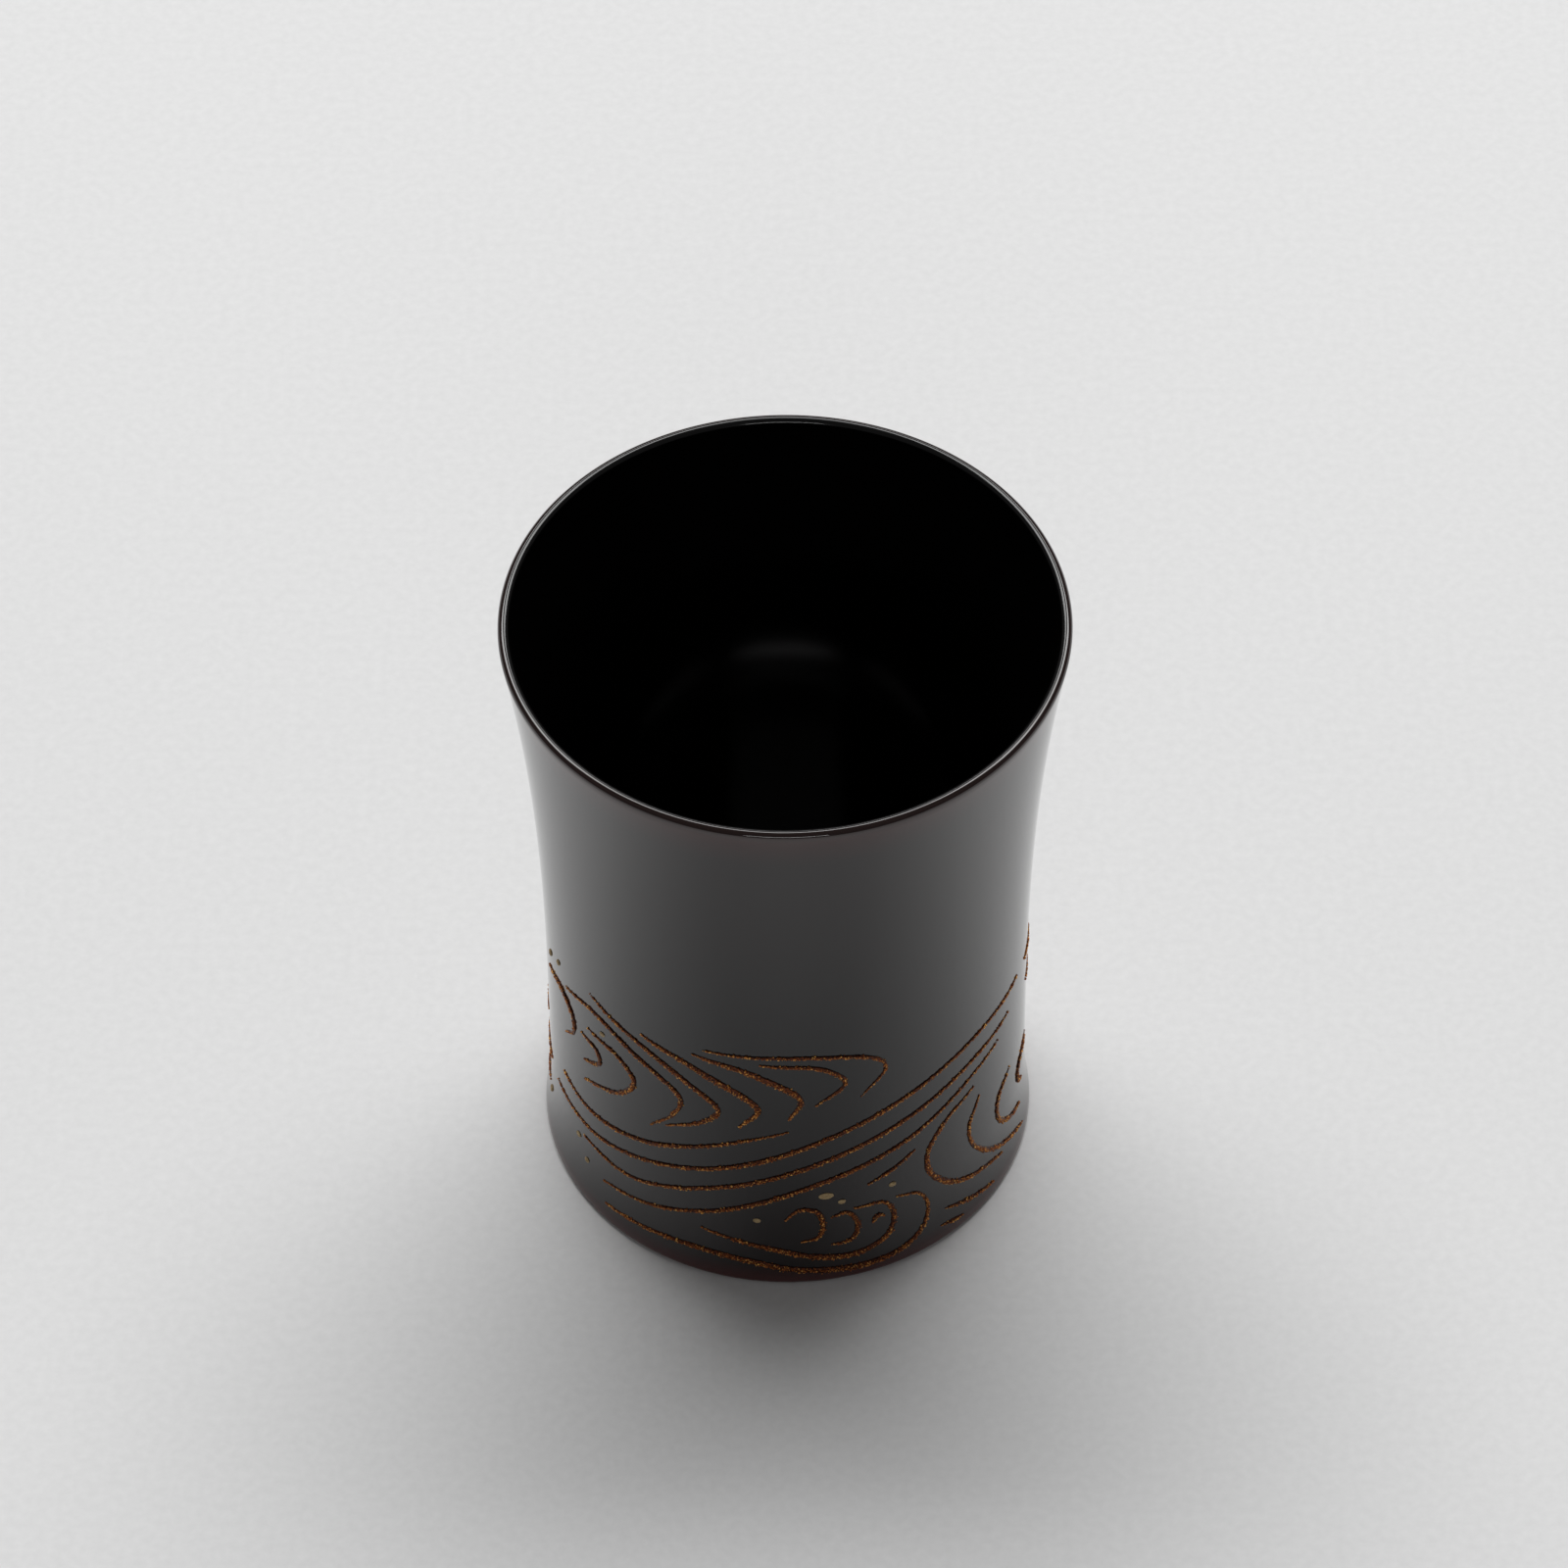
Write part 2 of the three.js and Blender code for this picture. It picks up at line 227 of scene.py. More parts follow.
def coat_profile(run, depth):
    """The run at one depth and at that depth plus a coat's thickness, joined into a loop."""
    return np.concatenate([sunk(run, depth), sunk(run, depth + COAT)[::-1]])


outer_coat = turn_profile("outer_lacquer", coat_profile(outside, 0))
red_coat = turn_profile("red_lacquer_under", coat_profile(outside[::2], UNDER_ONE_COAT))
inner_coat = turn_profile("inner_lacquer", coat_profile(inside, 0))
foot_coat = turn_profile("foot_lacquer", coat_profile(underside, 0))
core = turn_profile("turned_core", np.concatenate([
    sunk(underside, UNDER_ONE_COAT)[::2],
    sunk(outside, 2 * UNDER_ONE_COAT)[1::2],
    sunk(inside, UNDER_ONE_COAT)[1::2],
    [[0, FLOOR_THICKNESS - UNDER_ONE_COAT]],
]))

# %% [markdown]
# The drawing is made with a brush and a tube of gold powder. A stroke is a low ridge that swells and
# tapers, and the powder shows as separate grains that thin out at its edges and ends. The points that
# each stroke goes through are the same as in the solid model: a width in millimetres, then a list of
# (degrees from the front, height in millimetres). A drop is (degrees, height, length, breadth).

# %% Strokes and drops of the wave
STROKES = {
    "hairpin_a": (0.75, [(-19, 39.3), (6, 39.6), (20, 37.8), (23.5, 35.4), (18, 31.8)]),
    "hairpin_b": (0.85, [(-6, 38.3), (8, 37.4), (13.5, 34.4), (7, 31.2)]),
    "hairpin_c": (1.2, [(-22, 38), (-9, 36.6), (3, 32.2), (0.5, 29)]),
    "hairpin_d": (1.2, [(-36, 37.6), (-22.5, 35.6), (-7, 30.4), (-11, 27.2)]),
    "hairpin_e": (0.95, [(-52, 37.8), (-35, 35.4), (-25.5, 33), (-16.5, 29.2), (-20, 26.6),
                         (-29, 23.8)]),
    "hairpin_f": (0.85, [(-64, 33.6), (-52, 35.2), (-40, 33.6), (-26, 29.4), (-28, 26),
                         (-33.5, 22.8)]),
    "hairpin_g": (0.85, [(-54, 31.1), (-44, 30.8), (-39, 28.4), (-43, 24.8), (-56.5, 21.3)]),
    "curl_h": (0.7, [(-57.5, 29), (-51.5, 28.6), (-50.5, 26.8), (-57, 24.6)]),
    "curl_i": (0.8, [(-78, 30.2), (-68, 31.6), (-62, 30), (-61.5, 27.2), (-66, 25)]),
    "stream_1": (0.8, [(-67.5, 16.6), (-55.5, 16.4), (-38.5, 18.3), (-23, 21.5), (-10, 24.6),
                       (-1, 26.4)]),
    "stream_2": (0.9, [(-71, 12.4), (-54, 13), (-38.5, 15), (-17, 18.8), (10, 25), (30, 28.8),
                       (50, 31.4), (68, 31.8)]),
    "stream_3": (0.9, [(-56, 10.4), (-41.5, 10.6), (-15, 15.8), (10, 21.2), (35, 25.6), (50, 27.6),
                       (63, 28.2)]),
    "stream_4": (0.9, [(-48, 6.4), (-35, 7.8), (-19, 10.8), (6, 16.8), (30, 21), (48, 24.6),
                       (58, 25.8)]),
    "stream_5": (0.6, [(19.5, 15.4), (26, 16.8), (31.5, 18.4)]),
    "return_1": (0.95, [(49, 22.4), (41, 20.6), (35.5, 17), (36, 13), (44, 8.2), (62, 4.8)]),
    "return_2": (0.85, [(52, 19.6), (48.8, 16), (50.5, 12), (59.5, 7), (76, 2.8)]),
    "return_3": (0.8, [(67, 17.4), (61.2, 15.2), (61.5, 11.4), (67.5, 8.2), (76, 6.4)]),
    "return_4": (0.7, [(84, 14.6), (75, 13.6), (74.6, 11), (79, 9.4)]),
    "return_5": (0.7, [(40.5, 4.9), (50, 3.2), (58, 2.2)]),
    "return_6": (0.6, [(39, 2.6), (46, 1.9)]),
    "crest_curl_0": (0.9, [(-0.5, 11), (2.5, 12.6), (6.5, 12.2), (8.3, 9.6), (7.2, 7.6), (3.4, 7)]),
    "crest_curl_1": (0.9, [(10.4, 10.8), (13.8, 11.3), (16.8, 8.9), (15.2, 6.4), (10.5, 6.1)]),
    "crest_curl_2": (1.1, [(17, 11.7), (23, 11.4), (26, 8.8), (24.4, 5.6), (17.5, 4), (7, 4.3),
                           (-2.5, 5.6), (-20, 7.4)]),
    "crest_curl_3": (1.1, [(28.5, 11.2), (32.5, 10.4), (35.5, 7.4), (34, 4.4), (29.5, 2.7),
                           (21.5, 1.9), (3, 2.4), (-9, 3.5), (-23, 4), (-47, 3)]),
    "crest_eye": (0.9, [(20.4, 8.3), (21.8, 9.3), (23.4, 9)]),
    "back_stream_1": (0.9, [(80, 30.4), (105, 27.5), (130, 24.6), (155, 24), (180, 26)]),
    "back_stream_2": (0.9, [(84, 24.6), (110, 21.6), (135, 18.6), (160, 18), (190, 20.5)]),
    "back_stream_3": (0.9, [(100, 15.6), (125, 12.6), (150, 11.6), (175, 13), (200, 16)]),
    "back_stream_4": (0.8, [(205, 25), (225, 22), (250, 19), (272, 17.6)]),
    "back_stream_5": (0.8, [(212, 18.4), (235, 14.6), (258, 12.2), (278, 12)]),
    "back_hairpin_1": (1.0, [(115, 35), (130, 34), (140, 30.6), (135, 28.2)]),
    "back_hairpin_2": (1.0, [(152, 36.6), (169, 35.4), (181, 31.8), (175, 29.2)]),
    "back_hairpin_3": (1.0, [(195, 37), (212, 35.6), (224, 31.6), (217, 28.8)]),
    "back_hairpin_4": (0.9, [(234, 36), (250, 34.4), (262, 30), (255, 26.4)]),
    "back_swell_1": (0.9, [(118, 6), (145, 4.8), (170, 5.4), (196, 8.4)]),
    "back_swell_2": (0.9, [(214, 8.6), (235, 6), (255, 4.8), (274, 5.8)]),
}
DROPS = [
    (9, 14.8, 1.7, 1.05), (12.8, 13.4, 0.9, 0.7), (25.5, 14, 0.9, 0.75), (-7.5, 10.6, 0.9, 0.7),
    (-76, 33.4, 0.9, 0.8), (-69, 35.4, 0.8, 0.7), (-49, 32.6, 0.8, 0.6), (-82, 6, 0.9, 0.8),
    (-61, 9.2, 0.9, 0.7), (-57, 6.6, 0.8, 0.7), (104, 33.6, 0.9, 0.8), (190, 33, 0.9, 0.8),
    (247, 9, 0.9, 0.8),
]
print("strokes listed:", len(STROKES), "drops listed:", len(DROPS))

# %% [markdown]
# A stroke is worked out on the unrolled wall, a flat sheet whose width is measured round the waist,
# and then laid back on the cup. That keeps its width true and lets it follow the waisted wall.

# %% Lay points on the wall
STROKE_STEP = 0.3
FEWEST_STEPS = 12
CURVE_POINTS = 60


def over_wall(across, height, lift):
    """Angle = across / waist radius, radius = wall radius at that height plus the lift."""
    angle = across / WAIST_RADIUS
    radius = wall_radius(height) + lift
    return np.stack([radius * np.sin(angle), -radius * np.cos(angle), height], axis=-1)


def along_path(at, known_at, values):
    """Pairs of values at places between the known ones, by straight interpolation."""
    return np.stack([np.interp(at, known_at, values[:, axis]) for axis in (0, 1)], axis=-1)


def brush_path(route):
    """A centripetal Catmull-Rom curve in even steps: its points, tangents, shares and length."""
    knots = np.array([(math.radians(angle) * WAIST_RADIUS, height) for angle, height in route], float)
    knots = np.concatenate([[2 * knots[0] - knots[1]], knots, [2 * knots[-1] - knots[-2]]])
    pieces = []
    local = np.linspace(0, 1, CURVE_POINTS, endpoint=False)[:, None]
    for p0, p1, p2, p3 in zip(knots, knots[1:], knots[2:], knots[3:]):
        # Each knot's time is the last one's plus the square root of the distance
        t1 = np.linalg.norm(p1 - p0) ** 0.5
        t2 = t1 + np.linalg.norm(p2 - p1) ** 0.5
        t3 = t2 + np.linalg.norm(p3 - p2) ** 0.5
        t = t1 + local * (t2 - t1)
        a1 = (t1 - t) / t1 * p0 + t / t1 * p1
        a2 = (t2 - t) / (t2 - t1) * p1 + (t - t1) / (t2 - t1) * p2
        a3 = (t3 - t) / (t3 - t2) * p2 + (t - t2) / (t3 - t2) * p3
        b1 = (t2 - t) / t2 * a1 + t / t2 * a2
        b2 = (t3 - t) / (t3 - t1) * a2 + (t - t1) / (t3 - t1) * a3
        pieces.append((t2 - t) / (t2 - t1) * b1 + (t - t1) / (t2 - t1) * b2)
    dense = np.concatenate(pieces + [knots[-2:-1]])
    travelled = np.concatenate([[0], np.cumsum(np.linalg.norm(np.diff(dense, axis=0), axis=1))])
    length = travelled[-1]
    count = max(FEWEST_STEPS, round(length / STROKE_STEP))
    share = np.linspace(0, 1, count + 1)
    centre = along_path(share * length, travelled, dense)
    tangent = np.gradient(centre, axis=0)
    tangent /= np.linalg.norm(tangent, axis=1)[:, None]
    return centre, tangent, share, length

# %% [markdown]
# Grains are tiny eight-sided crystals. Each is a copy of one octahedron, turned at random, sized at
# random and set on the ridge, so thousands of them stay light.

# %% Grains of powder
GRAIN_RADIUS = 0.085
DULLEST_TONE = 0.25
TONE_POWER = 2.2
OCTAHEDRON = np.array([(1, 0, 0), (-1, 0, 0), (0, 1, 0), (0, -1, 0), (0, 0, 1), (0, 0, -1)], float)
OCTAHEDRON_FACES = np.array([
    (0, 2, 4), (2, 1, 4), (1, 3, 4), (3, 0, 4), (2, 0, 5), (1, 2, 5), (3, 1, 5), (0, 3, 5),
])
random = np.random.default_rng(7)


def scatter_grains(across, height, lift, radius):
    """Octahedra at places on the unrolled wall, each turned by a random unit quaternion."""
    count = len(across)
    corners = len(OCTAHEDRON)
    turn = random.normal(size=(count, 4))
    w, x, y, z = (turn / np.linalg.norm(turn, axis=1)[:, None]).T
    matrix = np.stack([
        1 - 2 * (y * y + z * z), 2 * (x * y - z * w), 2 * (x * z + y * w),
        2 * (x * y + z * w), 1 - 2 * (x * x + z * z), 2 * (y * z - x * w),
        2 * (x * z - y * w), 2 * (y * z + x * w), 1 - 2 * (x * x + y * y),
    ], axis=-1).reshape(count, 3, 3)
    local = np.einsum("nij,kj->nki", matrix, OCTAHEDRON) * radius[:, None, None]
    points = over_wall(across[:, None] + local[..., 0], height[:, None] + local[..., 1],
                       np.maximum(lift[:, None] + local[..., 2], 0.0))
    faces = OCTAHEDRON_FACES[None] + corners * np.arange(count)[:, None, None]
    # Few grains are bright: the tone is a random number raised to a power
    tone = DULLEST_TONE + (1 - DULLEST_TONE) * random.random(count) ** TONE_POWER
    return points.reshape(-1, 3), faces.reshape(-1, 3), np.repeat(tone, corners)

# %% [markdown]
# A ridge and a drop are both a grid of points that goes round, row after row, so one helper closes
# them. Another puts such a body and its grains into one mesh with a tone at every point.

# %% Helpers for gold bodies
def facing_out(points, faces):
    """Turns all faces round if the signed volume, a sum of triple products, is negative."""
    a, b, c = (points[faces[:, corner]] for corner in (0, 1, 2))
    volume = np.einsum("ij,ij->i", a, np.cross(b, c)).sum()
    return faces if volume > 0 else faces[:, ::-1]


def close_grid(points, rows, columns):
    """Triangles of a grid that goes round, with a fan over its first row and over its last."""
    quads = faces_of_grid(rows, columns, False)
    shell = np.concatenate([quads[:, [0, 1, 2]], quads[:, [0, 2, 3]]])
    hub = np.zeros(columns - 2, int)
    fan = np.stack([hub, np.arange(1, columns - 1), np.arange(2, columns)], axis=-1)
    last = (rows - 1) * columns
    return facing_out(points, np.concatenate([shell, fan[:, ::-1], fan + last]))


def join_grains(name, points, faces, body_tone, grains):
    """The body and its grains as one mesh: the body has one tone and each grain its own."""
    grain_points, grain_faces, grain_tone = grains
    tone = np.concatenate([np.full(len(points), body_tone), grain_tone])
    all_points = np.concatenate([points, grain_points])
    all_faces = np.concatenate([faces, grain_faces + len(points)])
    return make_piece(name, all_points, all_faces, tone)

# %% [markdown]
# The ridge's section is a half oval over a flat base. Both its width and its height follow the
# brush: they swell as a sine from the tip to the middle and back. A little raggedness keeps its edge
# from looking ruled.

# %% The ridge of a stroke
GOLD_SEAT = 0.01
GOLD_RISE = 0.16
TIP_SHARE = 0.28
SWELL_POWER = 0.7
RIDGE_SHARE = 0.4
RAGGED = 0.1
RAGGED_LIMITS = (0.8, 1.2)
ACROSS_POINTS = 9
BASE_OFFSETS = [0.5, -0.5]
BED_TONE = 0.0


def ridge_on(centre, side, swell, width):
    """Points across the path at offsets t, lifted by the rise times the root of (1 - t squared)."""
    ragged = 1 + RAGGED * random.normal(size=len(swell))
    half = width * RIDGE_SHARE * swell * np.clip(ragged, *RAGGED_LIMITS)
    top = np.linspace(-1, 1, ACROSS_POINTS)
    dome = np.sqrt(np.clip(1 - top ** 2, 0, 1))
    offset = np.concatenate([top, BASE_OFFSETS])
    lift_share = np.concatenate([dome, np.zeros(len(BASE_OFFSETS))])
    spot = centre[:, None] + side[:, None] * (offset[None, :, None] * half[:, None, None])
    lift = GOLD_SEAT + GOLD_RISE * swell[:, None] * lift_share[None, :]
    points = over_wall(spot[..., 0], spot[..., 1], lift).reshape(-1, 3)
    return points, close_grid(points, len(swell), len(offset))

# %% [markdown]
# Powder is sprinkled on wet lacquer, so most grains lie near the middle of a stroke and a few stray
# past its edges and ends.

# %% The grains of a stroke
GRAINS_PER_AREA = 22
END_REACH = 0.02
GRAIN_SPREAD = 0.5
GRAIN_REACH = 1.25
GRAIN_VARIES = 0.35
GRAIN_LIMITS = (0.04, 0.17)


def grains_on(centre, side, share, length, swell, width):
    """Grains evenly along the path and by a bell curve across it, on top of the ridge's half oval."""
    count = int(length * width * GRAINS_PER_AREA)
    along = random.random(count) * (1 + 2 * END_REACH) - END_REACH
    at = np.clip(along, 0, 1)
    spread = np.clip(random.normal(size=count) * GRAIN_SPREAD, -GRAIN_REACH, GRAIN_REACH)
    half = np.interp(at, share, width * RIDGE_SHARE * swell)
    across = along_path(at, share, side)
    forward = np.stack([across[:, 1], -across[:, 0]], axis=-1)
    beyond = (along - at)[:, None] * length * forward
    spot = along_path(at, share, centre) + across * (spread * half)[:, None] + beyond
    rise = np.sqrt(np.clip(1 - spread ** 2, 0, 1)) * np.interp(at, share, swell)
    radius = GRAIN_RADIUS * np.exp(GRAIN_VARIES * random.normal(size=count))
    lift = GOLD_SEAT + GOLD_RISE * rise
    return scatter_grains(spot[:, 0], spot[:, 1], lift, np.clip(radius, *GRAIN_LIMITS))


def draw_stroke(name, width, route):
    """A ridge along the path with its grains. Swell = tip share plus the rest times a sine's power."""
    centre, tangent, share, length = brush_path(route)
    swell = TIP_SHARE + (1 - TIP_SHARE) * np.sin(np.pi * share) ** SWELL_POWER
    side = np.stack([-tangent[:, 1], tangent[:, 0]], axis=-1)
    points, faces = ridge_on(centre, side, swell, width)
    grains = grains_on(centre, side, share, length, swell, width)
    return join_grains(f"fine_{name}", points, faces, BED_TONE, grains)


strokes = {name: draw_stroke(name, width, route) for name, (width, route) in STROKES.items()}
stroke_faces = sum(len(piece.data.polygons) for piece in strokes.values())
print("strokes:", len(strokes), "with", stroke_faces, "faces")

# %% [markdown]
# A drop of spray is a dot of thicker lacquer with pale powder. Its shape is half an ellipsoid set on
# the wall, closed by a flat base.

# %% Set the drops
DROP_SIDES = 40
DROP_RINGS = 9
DROP_TOP_ANGLE = 0.08
DROP_GRAINS_PER_AREA = 60
DROP_GRAIN_SHARE = 0.6
DROP_BED_TONE = 0.5
DROP_DULLEST_TONE = 0.35
DROP_TONE_SPAN = 0.4


def drop_grains(middle, height, length, breadth):
    """Fine grains spread evenly over the oval: reach = the root of a random number."""
    count = int(length * breadth * DROP_GRAINS_PER_AREA)
    reach = np.sqrt(random.random(count))
    swing = random.random(count) * 2 * np.pi
    points, faces, tone = scatter_grains(
        middle + reach * np.cos(swing) * length / 2,
        height + reach * np.sin(swing) * breadth / 2,
        GOLD_SEAT + GOLD_RISE * np.sqrt(1 - reach ** 2),
        np.full(count, GRAIN_RADIUS * DROP_GRAIN_SHARE))
    return points, faces, DROP_DULLEST_TONE + DROP_TONE_SPAN * tone


def set_drop(number, angle, height, length, breadth):
    """Rings at shares sin(q) of the oval and heights cos(q) of the rise, from the rim to the top."""
    quarter = np.linspace(np.pi / 2, DROP_TOP_ANGLE, DROP_RINGS)[:, None]
    turn = np.arange(DROP_SIDES)[None, :] * 2 * np.pi / DROP_SIDES
    middle = math.radians(angle) * WAIST_RADIUS
    across = middle + np.sin(quarter) * np.cos(turn) * length / 2
    rise = height + np.sin(quarter) * np.sin(turn) * breadth / 2
    lift = GOLD_SEAT + GOLD_RISE * np.cos(quarter)
    points = over_wall(across, rise, lift).reshape(-1, 3)
    faces = close_grid(points, DROP_RINGS, DROP_SIDES)
    grains = drop_grains(middle, height, length, breadth)
    return join_grains(f"fine_drop_{number}", points, faces, DROP_BED_TONE, grains)


drops = [set_drop(number, *drop) for number, drop in enumerate(DROPS, start=1)]
print("drops:", len(drops))

# %% [markdown]
# Lacquer is a clear, hard, very smooth skin, so its look is mostly reflection. Each finish is a short
# function, and these helpers hold the steps that the finishes share.

# %% Helpers for materials
def new_material(name):
    """A node material with its nodes, its links and its shader."""
    material = bpy.data.materials.new(name)
    material.use_nodes = True
    nodes = material.node_tree.nodes
    return material, nodes, material.node_tree.links, nodes["Principled BSDF"]


def add_noise(nodes, links, scale, detail, stretch=None):
    """Noise that is fixed to the object by its own coordinates, stretched by a factor an axis."""
    coordinates = nodes.new("ShaderNodeTexCoord")
    noise = nodes.new("ShaderNodeTexNoise")
    noise.inputs["Scale"].default_value = scale
    noise.inputs["Detail"].default_value = detail
    source = coordinates.outputs["Object"]
    if stretch is not None:
        mapping = nodes.new("ShaderNodeMapping")
        mapping.inputs["Scale"].default_value = stretch
        links.new(source, mapping.inputs["Vector"])
        source = mapping.outputs["Vector"]
    links.new(source, noise.inputs["Vector"])
    return noise


def colour_by(nodes, links, source, shader, stops):
    """The base colour from a value, through a ramp of (place, colour) pairs."""
    ramp = nodes.new("ShaderNodeValToRGB")
    elements = ramp.color_ramp.elements
    while len(elements) < len(stops):
        elements.new(0.5)
    for element, (position, colour) in zip(elements, stops):
        element.position = position
        element.color = (*colour, 1)
    links.new(source, ramp.inputs["Fac"])
    links.new(ramp.outputs["Color"], shader.inputs["Base Color"])


def gloss_by(nodes, links, source, shader, smoothest, roughest):
    """Roughness between two values, by a value from 0 to 1."""
    gloss = nodes.new("ShaderNodeMapRange")
    gloss.inputs["To Min"].default_value = smoothest
    gloss.inputs["To Max"].default_value = roughest
    links.new(source, gloss.inputs["Value"])
    links.new(gloss.outputs["Result"], shader.inputs["Roughness"])

# %% [markdown]
# The brown coat lets a little of the red under it through where it is thin: along the foot edge and
# just under the lip. It could be a clear shell over a red one, but light that crosses thin shells is
# slow and noisy, so one opaque material changes its colour by height.

# %% Brown lacquer of the wall
def brown_lacquer():
    """Near-black brown whose colour goes to dark red by height, under a smooth reflecting skin."""
    material, nodes, links, shader = new_material("brown_lacquer")
    coordinates = nodes.new("ShaderNodeTexCoord")
    split = nodes.new("ShaderNodeSeparateXYZ")
    links.new(coordinates.outputs["Object"], split.inputs["Vector"])
    share = nodes.new("ShaderNodeMapRange")
    share.inputs["From Max"].default_value = HEIGHT * MM
    links.new(split.outputs["Z"], share.inputs["Value"])
    colour_by(nodes, links, share.outputs["Result"], shader, [
        (0.0, (0.075, 0.014, 0.014)), (0.012, (0.05, 0.01, 0.01)), (0.035, (0.008, 0.004, 0.004)),
        (0.5, (0.004, 0.003, 0.003)), (0.93, (0.006, 0.003, 0.003)), (0.985, (0.03, 0.007, 0.006)),
        (1.0, (0.012, 0.006, 0.005)),
    ])
    haze = add_noise(nodes, links, 60, 2)
    gloss_by(nodes, links, haze.outputs["Fac"], shader, 0.035, 0.075)
    shader.inputs["IOR"].default_value = 1.6
    return material

# %% [markdown]
# The hollow and the foot have plain black lacquer. It is a little less smooth than the wall's, which
# softens what it mirrors.

# %% Black lacquer of the hollow and the foot
def black_lacquer():
    """Deep black with the faintest unevenness of a polished coat."""
    material, nodes, links, shader = new_material("black_lacquer")
    haze = add_noise(nodes, links, 45, 2)
    colour_by(nodes, links, haze.outputs["Fac"], shader, [
        (0.3, (0.0012, 0.001, 0.001)), (0.7, (0.002, 0.0018, 0.0018)),
    ])
    gloss_by(nodes, links, haze.outputs["Fac"], shader, 0.1, 0.14)
    shader.inputs["IOR"].default_value = 1.5
    return material

# %% [markdown]
# The red coat and the wood are hidden, but someone who takes the model apart sees them, so each has
# a finish of its own. Wood grain is noise that is stretched along the cup's axis.

# %% Hidden red lacquer and wood
def red_lacquer():
    """The opaque red coat under the brown one, with brush haze."""
    material, nodes, links, shader = new_material("red_lacquer")
    haze = add_noise(nodes, links, 200, 3)
    colour_by(nodes, links, haze.outputs["Fac"], shader, [
        (0.3, (0.12, 0.01, 0.008)), (0.7, (0.17, 0.014, 0.011)),
    ])
    shader.inputs["Roughness"].default_value = 0.3
    return material


def core_wood():
    """Straight grain: noise stretched along the axis, between a light and a dark brown."""
    material, nodes, links, shader = new_material("core_wood")
    grain = add_noise(nodes, links, 400, 6, stretch=(1, 1, 0.06))
    colour_by(nodes, links, grain.outputs["Fac"], shader, [
        (0.3, (0.2, 0.1, 0.04)), (0.7, (0.38, 0.21, 0.09)),
    ])
    shader.inputs["Roughness"].default_value = 0.75
    return material

# %% [markdown]
# Gold powder on lacquer is half metal, half dark gaps. Each grain carries a tone, and a ramp turns it
# from the dark amber of the bed to a bright glint. Fine noise breaks up the bed between the grains.

# %% Gold
def powder(name, stops, metal, rough):
    """Colour from the tone attribute plus fine noise, through a ramp."""
    material, nodes, links, shader = new_material(name)
    tone = nodes.new("ShaderNodeAttribute")
    tone.attribute_name = "tone"
    noise = add_noise(nodes, links, 5000, 2)
    spread = nodes.new("ShaderNodeMapRange")
    spread.inputs["From Min"].default_value = 0.3
    spread.inputs["From Max"].default_value = 0.7
    spread.inputs["To Min"].default_value = -0.12
    spread.inputs["To Max"].default_value = 0.22
    links.new(noise.outputs["Fac"], spread.inputs["Value"])
    add = nodes.new("ShaderNodeMath")
    add.use_clamp = True
    links.new(tone.outputs["Fac"], add.inputs[0])
    links.new(spread.outputs["Result"], add.inputs[1])
    colour_by(nodes, links, add.outputs["Value"], shader, stops)
    bump = nodes.new("ShaderNodeBump")
    bump.inputs["Strength"].default_value = 0.6
    bump.inputs["Distance"].default_value = 0.05 * MM
    links.new(noise.outputs["Fac"], bump.inputs["Height"])
    links.new(bump.outputs["Normal"], shader.inputs["Normal"])
    shader.inputs["Metallic"].default_value = metal
    shader.inputs["Roughness"].default_value = rough
    return material


gold = powder("gold_powder", [
    (0.0, (0.03, 0.008, 0.004)), (0.25, (0.2, 0.05, 0.012)), (0.6, (0.5, 0.16, 0.035)),
    (1.0, (1.0, 0.55, 0.14)),
], metal=0.75, rough=0.38)
pale = powder("pale_gold", [
    (0.0, (0.2, 0.13, 0.06)), (0.5, (0.4, 0.29, 0.15)), (1.0, (0.62, 0.48, 0.28)),
], metal=0.45, rough=0.55)

# %% [markdown]
# Every piece is painted, rides on the only body, and hides the solid it stands for.

# %% Paint and place
def place(piece, material, node):
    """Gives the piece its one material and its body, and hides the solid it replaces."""
    piece.data.materials.append(material)
    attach(piece, "root")
    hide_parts(node)


black = black_lacquer()
place(outer_coat, brown_lacquer(), "brown_top_coat")
place(inner_coat, black, "black_inner_coat")
place(foot_coat, black, "black_foot_coat")
for stroke_name, piece in strokes.items():
    place(piece, gold, f"gold_{stroke_name}")
for number, piece in enumerate(drops, start=1):
    place(piece, pale, f"gold_drop_{number}")
place(core, core_wood(), "wood_core")
place(red_coat, red_lacquer(), "red_undercoat")
print("gold pieces placed:", len(strokes) + len(drops))

# %% [markdown]
# The stage is a sheet of pale grey paper, wide enough to fill the picture.

# %% Floor
def paper():
    """Pale grey with a fine grain."""
    material, nodes, links, shader = new_material("paper")
    grain = add_noise(nodes, links, 900, 4)
    colour_by(nodes, links, grain.outputs["Fac"], shader, [
        (0.3, (0.73, 0.73, 0.73)), (0.7, (0.77, 0.77, 0.77)),
    ])
    shader.inputs["Roughness"].default_value = 0.9
    shader.inputs["Specular IOR Level"].default_value = 0.1
    return material


FLOOR_HALF = 1500.0
corners = np.array([(-1, -1, 0), (1, -1, 0), (1, 1, 0), (-1, 1, 0)], float) * FLOOR_HALF
floor = make_piece("floor", corners, np.array([(0, 1, 2, 3)]))
floor.data.materials.append(paper())

# %% [markdown]
# A broad soft light stands high behind the cup, so the shadow falls towards the viewer and the top of
# the lip shines all round. A narrow strip low in front adds a short glint to the lip. The world gives
# a weak even fill.

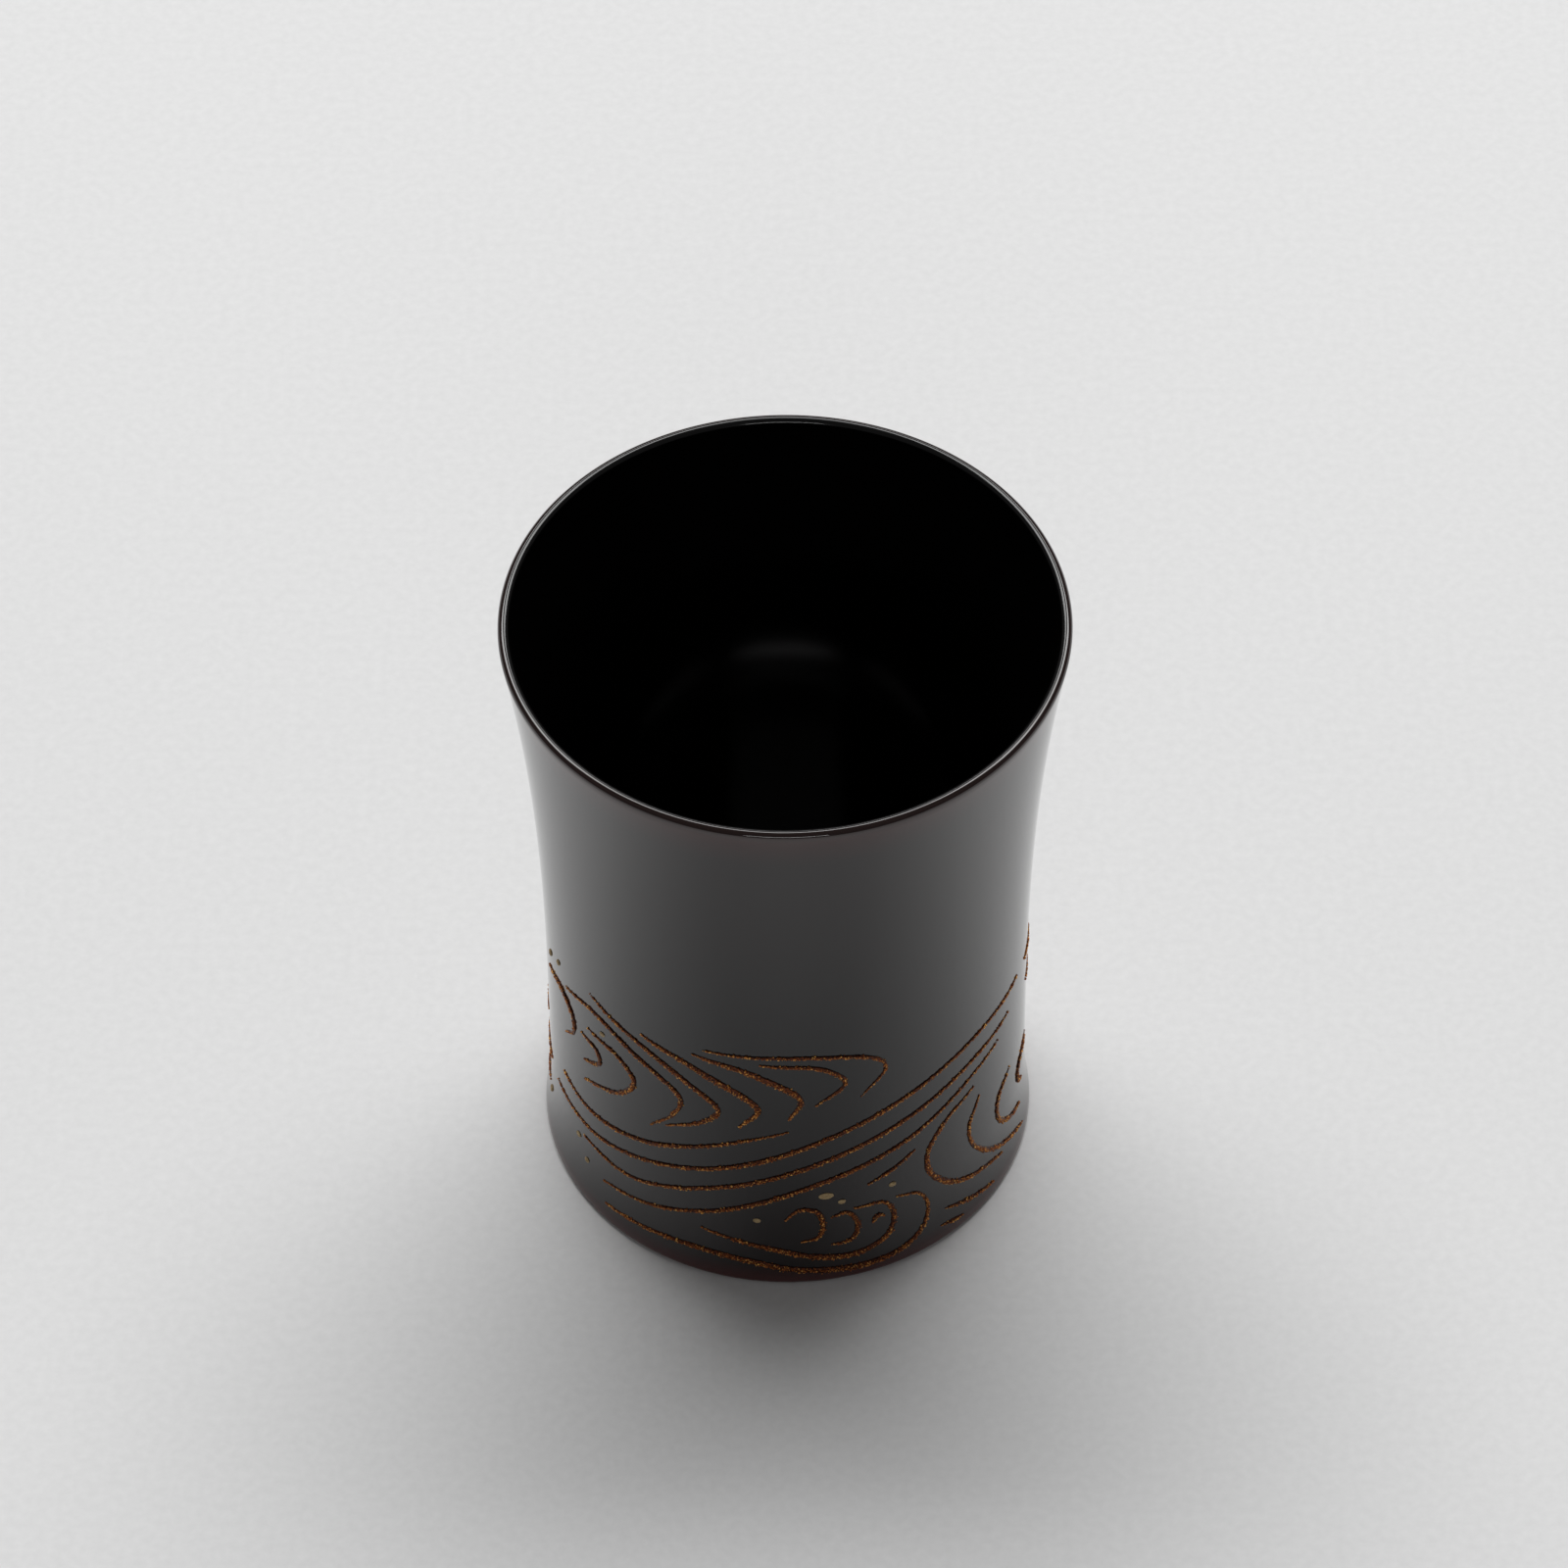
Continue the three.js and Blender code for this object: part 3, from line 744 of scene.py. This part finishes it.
# %% Lights
def soft_light(name, place_m, width, height, power):
    """A rectangular light that faces the middle of the cup. Its place and sides are in metres."""
    data = bpy.data.lights.new(name, "AREA")
    data.shape = "RECTANGLE"
    data.size = width
    data.size_y = height
    data.energy = power
    light = bpy.data.objects.new(name, data)
    light.location = place_m
    aim = Vector((0, 0, HEIGHT * MM / 2)) - Vector(place_m)
    light.rotation_euler = aim.to_track_quat("-Z", "Y").to_euler()
    bpy.context.scene.collection.objects.link(light)


soft_light("overhead", place_m=(0.0, 1.15, 1.9), width=2.7, height=1.2, power=62)
soft_light("camera_side", place_m=(0.0, -0.60, 0.28), width=0.3, height=0.02, power=0.3)

WORLD_FILL = 0.1
world = bpy.data.worlds.new("studio")
bpy.context.scene.world = world
world.use_nodes = True
sky = world.node_tree.nodes["Background"]
sky.inputs["Color"].default_value = (1, 1, 1, 1)
sky.inputs["Strength"].default_value = WORLD_FILL

# %% [markdown]
# The camera is the one that fits the rim, the sides and the foot in the photograph: a long lens,
# looking down at 49 degrees. The cup stands a little below the picture's middle.

# %% Camera
SENSOR_WIDTH = 36
CAMERA_ELEVATION = 49.24
CAMERA_DISTANCE = 875.0
CAMERA_ROLL = -0.34
PICTURE_SIDE = 1600
FOCAL_PIXELS = 8000
CUP_BELOW_MIDDLE = 82.5
CUP_RIGHT_OF_MIDDLE = 3.05
camera_data = bpy.data.cameras.new("camera")
camera_data.sensor_width = SENSOR_WIDTH
camera_data.lens = SENSOR_WIDTH * FOCAL_PIXELS / PICTURE_SIDE
camera = bpy.data.objects.new("camera", camera_data)
elevation = math.radians(CAMERA_ELEVATION)
back = Vector((0, -math.cos(elevation), math.sin(elevation))) * CAMERA_DISTANCE * MM
tilt = math.pi / 2 - elevation + math.atan(CUP_BELOW_MIDDLE / FOCAL_PIXELS)
swing = math.atan(CUP_RIGHT_OF_MIDDLE / FOCAL_PIXELS)
camera.matrix_world = (
    Matrix.Translation(Vector((0, 0, HEIGHT * MM / 2)) + back)
    @ Matrix.Rotation(swing, 4, "Z")
    @ Matrix.Rotation(tilt, 4, "X")
    @ Matrix.Rotation(math.radians(CAMERA_ROLL), 4, "Z")
)
bpy.context.scene.collection.objects.link(camera)
bpy.context.scene.camera = camera
bpy.context.scene.view_settings.view_transform = "Standard"
